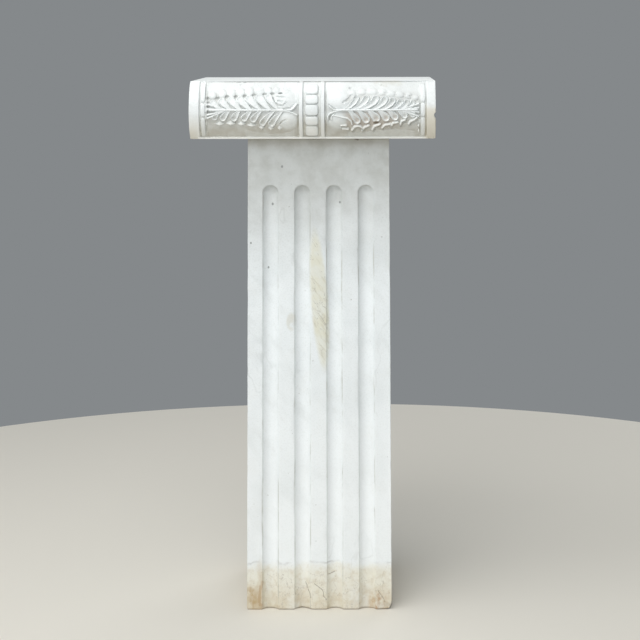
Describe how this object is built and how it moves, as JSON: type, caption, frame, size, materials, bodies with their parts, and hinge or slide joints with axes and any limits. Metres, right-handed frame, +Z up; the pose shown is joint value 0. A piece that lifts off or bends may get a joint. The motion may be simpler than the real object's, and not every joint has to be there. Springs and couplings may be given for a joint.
{
  "type": "ionic marble pedestal",
  "caption": "Square fluted marble shaft with a loose Ionic scroll capital, its bolsters carved with acanthus leaves either side of a belt of beads.",
  "frame": {"origin": "centre of the overall box, at the underside of the shaft", "axes": "+Z up, the carved front bolster toward -Y, +X to the right seen from the front"},
  "size_m": [0.4228, 0.32, 0.914],
  "materials": {
    "shaft_marble": "honed white marble, weathered, stained beige at the foot",
    "capital_marble": "carved white marble, weathered"
  },
  "bodies": {
    "root": {"shaft": "shaft_marble", "capital": "capital_marble"}
  },
  "joints": []
}
